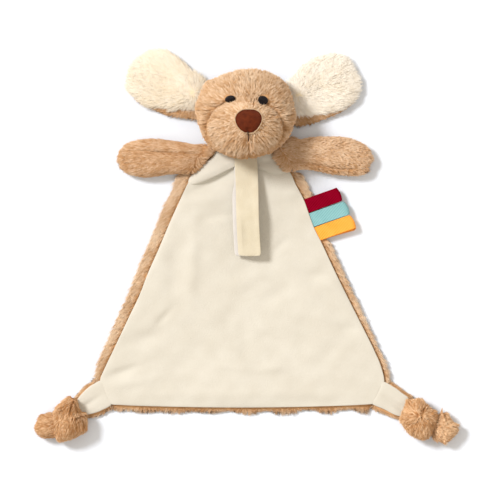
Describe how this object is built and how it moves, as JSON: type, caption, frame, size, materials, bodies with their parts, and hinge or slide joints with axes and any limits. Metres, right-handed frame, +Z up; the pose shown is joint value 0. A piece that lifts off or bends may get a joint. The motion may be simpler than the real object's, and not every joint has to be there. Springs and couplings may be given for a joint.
{
  "type": "comfort blanket lovey",
  "caption": "Flat comfort blanket with a stuffed dog's head and arms, a soother strap, ribbon tags on one side seam and knotted lower corners.",
  "frame": {"origin": "middle of the footprint, on the surface that the toy lies on", "axes": "+X to the right of someone who looks down on the face, +Y from the hem to the head, +Z up out of the face"},
  "size_m": [0.2951, 0.2772, 0.0578],
  "materials": {
    "plush_tan": "soft tan plush",
    "plush_cream": "long cream plush",
    "velour_cream": "short cream velour",
    "lining": "white brushed tape",
    "closure": "white hook and loop tape",
    "filling": "polyester fibre",
    "eye_thread": "black satin stitch",
    "mouth_thread": "dark brown stitch",
    "nose_satin": "brown satin",
    "ribbon_crimson": "grosgrain ribbon",
    "ribbon_aqua": "grosgrain ribbon",
    "ribbon_orange": "grosgrain ribbon"
  },
  "bodies": {
    "blanket": {"back_panel": "plush_tan", "front_panel": "velour_cream", "neck_yoke": "velour_cream"},
    "head": {"head_cover": "plush_tan", "head_filling": "filling", "muzzle": "plush_tan", "nose": "nose_satin", "mouth_stitch": "mouth_thread", "eye_left": "eye_thread", "eye_right": "eye_thread"},
    "ear_left": {"ear_left_back": "plush_tan", "ear_left_front": "plush_cream"},
    "arm_left": {"arm_left_cover": "plush_tan", "arm_left_filling": "filling"},
    "corner_left": {"corner_left_back": "plush_tan", "corner_left_front": "velour_cream", "corner_left_knot": "plush_tan", "corner_left_tail": "plush_tan"},
    "ear_right": {"ear_right_back": "plush_tan", "ear_right_front": "plush_cream"},
    "arm_right": {"arm_right_cover": "plush_tan", "arm_right_filling": "filling"},
    "corner_right": {"corner_right_back": "plush_tan", "corner_right_front": "velour_cream", "corner_right_knot": "plush_tan", "corner_right_tail": "plush_tan"},
    "strap_inner": {"strap_inner_leaf": "lining", "loop_patch": "closure"},
    "strap_outer": {"strap_outer_leaf": "velour_cream", "hook_patch": "closure"},
    "ribbon_crimson": {"ribbon_crimson": "ribbon_crimson"},
    "ribbon_aqua": {"ribbon_aqua": "ribbon_aqua"},
    "ribbon_orange": {"ribbon_orange": "ribbon_orange"}
  },
  "joints": [
    {"name": "head_nod", "type": "hinge", "parent": "blanket", "child": "head", "pos_m": [-0.0011, 0.066, 0.0058], "axis": [-1, 0, 0], "range_deg": [-22, 0]},
    {"name": "ear_left_fold", "type": "hinge", "parent": "head", "child": "ear_left", "pos_m": [-0.03675, 0.10305, 0.0052], "axis": [0.2, 0.9798, 0], "range_deg": [0, 60]},
    {"name": "ear_right_fold", "type": "hinge", "parent": "head", "child": "ear_right", "pos_m": [0.03455, 0.10305, 0.0052], "axis": [0.1302, -0.9915, 0], "range_deg": [0, 60]},
    {"name": "arm_left_fold", "type": "hinge", "parent": "blanket", "child": "arm_left", "pos_m": [-0.03115, 0.0585, 0.0058], "axis": [0.615, 0.7885, 0], "range_deg": [0, 85]},
    {"name": "arm_right_fold", "type": "hinge", "parent": "blanket", "child": "arm_right", "pos_m": [0.02355, 0.0585, 0.0058], "axis": [0.615, -0.7885, 0], "range_deg": [0, 85]},
    {"name": "strap_lift", "type": "hinge", "parent": "blanket", "child": "strap_inner", "pos_m": [-0.0038, 0.061, 0.0096], "axis": [-1, 0, 0], "range_deg": [0, 35]},
    {"name": "strap_open", "type": "hinge", "parent": "strap_inner", "child": "strap_outer", "pos_m": [-0.0038, 0.061, 0.0096], "axis": [-1, 0, 0], "range_deg": [0, 40]},
    {"name": "ribbon_crimson_flex", "type": "hinge", "parent": "blanket", "child": "ribbon_crimson", "pos_m": [0.04022, 0.02719, 0.0058], "axis": [0.4136, -0.9104, 0], "range_deg": [0, 70]},
    {"name": "ribbon_aqua_flex", "type": "hinge", "parent": "blanket", "child": "ribbon_aqua", "pos_m": [0.04456, 0.01763, 0.0058], "axis": [0.4136, -0.9104, 0], "range_deg": [0, 70]},
    {"name": "ribbon_orange_flex", "type": "hinge", "parent": "blanket", "child": "ribbon_orange", "pos_m": [0.0489, 0.00807, 0.0058], "axis": [0.4136, -0.9104, 0], "range_deg": [0, 70]},
    {"name": "corner_left_fold", "type": "hinge", "parent": "blanket", "child": "corner_left", "pos_m": [-0.0998, -0.10315, 0.0058], "axis": [-0.4496, 0.8932, 0], "range_deg": [0, 110]},
    {"name": "corner_right_fold", "type": "hinge", "parent": "blanket", "child": "corner_right", "pos_m": [0.0922, -0.10315, 0.0058], "axis": [-0.4496, -0.8932, 0], "range_deg": [0, 110]}
  ]
}
